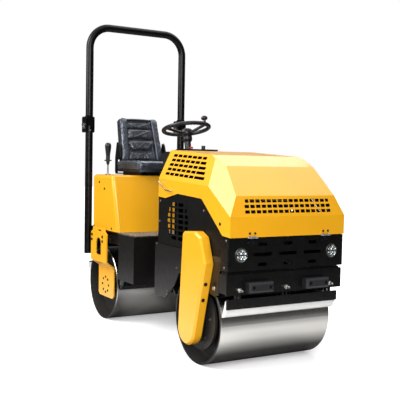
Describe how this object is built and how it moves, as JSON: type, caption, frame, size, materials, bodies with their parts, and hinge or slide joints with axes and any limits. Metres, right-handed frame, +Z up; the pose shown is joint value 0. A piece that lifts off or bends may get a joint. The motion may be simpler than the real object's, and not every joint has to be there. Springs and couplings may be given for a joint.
{
  "type": "ride-on double-drum road roller",
  "caption": "Articulated ride-on road roller with smooth steel drums, faceted engine hood, open seat and a fold-down roll bar.",
  "frame": {"origin": "on the ground under the middle of the machine, midway between the drum axles", "axes": "+X forward, +Y to the machine's left along the drum axles, +Z up"},
  "size_m": [2.296, 0.96, 2.3429],
  "materials": {
    "yellow_paint": "gloss amber yellow paint",
    "black_paint": "gloss black paint",
    "drum_steel": "rolled steel, polished by the ground",
    "bright_steel": "turned steel",
    "chrome_wire": "chromed wire",
    "rubber": "moulded black rubber",
    "nylon": "white nylon",
    "black_plastic": "grained black plastic",
    "lamp": "clear lens in a black ring",
    "seat_vinyl": "dark blue grey vinyl",
    "engine_iron": "dark grey engine paint",
    "floor_steel": "grey tread plate"
  },
  "bodies": {
    "front": {"front_frame": "black_paint", "bulkhead": "black_paint", "front_hubs": "black_paint", "chain_cases": "yellow_paint", "engine": "engine_iron", "engine_sides": "black_paint", "front_panel": "black_paint", "head_lamps": "lamp", "front_beam": "black_paint", "front_buffers": "rubber", "front_scraper_bar": "black_paint", "front_scraper_blade": "nylon", "front_inner_scraper": "black_paint", "hinge_leaves_fixed": "bright_steel", "console": "black_plastic", "steering_column": "black_plastic", "pivot_yoke": "black_paint", "pivot_pin": "bright_steel"},
    "front_drum": {"front_drum": "drum_steel"},
    "rear_drum": {"rear_drum": "drum_steel"},
    "hood": {"hood": "yellow_paint", "hood_handles": "chrome_wire", "hinge_leaves_moving": "bright_steel"},
    "steering_wheel": {"steering_wheel": "black_plastic", "spinner_knob": "black_plastic"},
    "rear": {"rear_frame": "black_paint", "rear_beam": "black_paint", "rear_buffers": "rubber", "rear_scraper_bar": "black_paint", "rear_scraper_blade": "nylon", "rear_inner_scraper": "black_paint", "floor_plate": "floor_steel", "seat_box": "yellow_paint", "rear_arms": "yellow_paint", "rear_hubs": "black_paint", "seat_base": "black_paint", "seat_cushion": "seat_vinyl", "seat_back": "seat_vinyl", "drive_lever": "bright_steel", "lever_grip": "black_plastic", "roll_bar_lower": "black_paint", "roll_bar_pins": "bright_steel", "pivot_boss": "black_paint"},
    "roll_bar": {"roll_bar_upper": "black_paint"},
    "steering_barrel": {"steering_barrel": "black_paint"},
    "steering_rod": {"steering_rod": "chrome_wire"}
  },
  "joints": [
    {"name": "articulation", "type": "hinge", "parent": "rear", "child": "front", "pos_m": [0.02, 0, 0.49], "axis": [0, 0, 1], "range_deg": [-30, 30]},
    {"name": "front_drum_spin", "type": "hinge", "parent": "front", "child": "front_drum", "pos_m": [0.74, 0, 0.28], "axis": [0, 1, 0], "continuous": true},
    {"name": "rear_drum_spin", "type": "hinge", "parent": "rear", "child": "rear_drum", "pos_m": [-0.74, 0, 0.28], "axis": [0, 1, 0], "continuous": true},
    {"name": "hood_tilt", "type": "hinge", "parent": "front", "child": "hood", "pos_m": [1.128, 0, 0.808], "axis": [0, 1, 0], "range_deg": [0, 60]},
    {"name": "steering_wheel_turn", "type": "hinge", "parent": "front", "child": "steering_wheel", "pos_m": [-0.118, 0, 1.296], "axis": [-0.225, 0, 0.9744], "continuous": true},
    {"name": "roll_bar_fold", "type": "hinge", "parent": "rear", "child": "roll_bar", "pos_m": [-1.054, 0, 1.525], "axis": [0, -1, 0], "range_deg": [0, 110]},
    {"name": "steering_barrel_swing", "type": "hinge", "parent": "rear", "child": "steering_barrel", "pos_m": [-0.35, -0.075, 0.47], "axis": [0, 0, 1], "range_deg": [-8, 8]},
    {"name": "steering_rod_slide", "type": "slide", "parent": "steering_barrel", "child": "steering_rod", "axis": [0.9997, -0.0244, 0], "range_m": [-0.06, 0.06]}
  ],
  "couplings": [
    {"joint": "steering_barrel_swing", "follows": "articulation", "ratio": 0.1},
    {"joint": "steering_rod_slide", "follows": "articulation", "m_per_rad": 0.082}
  ]
}
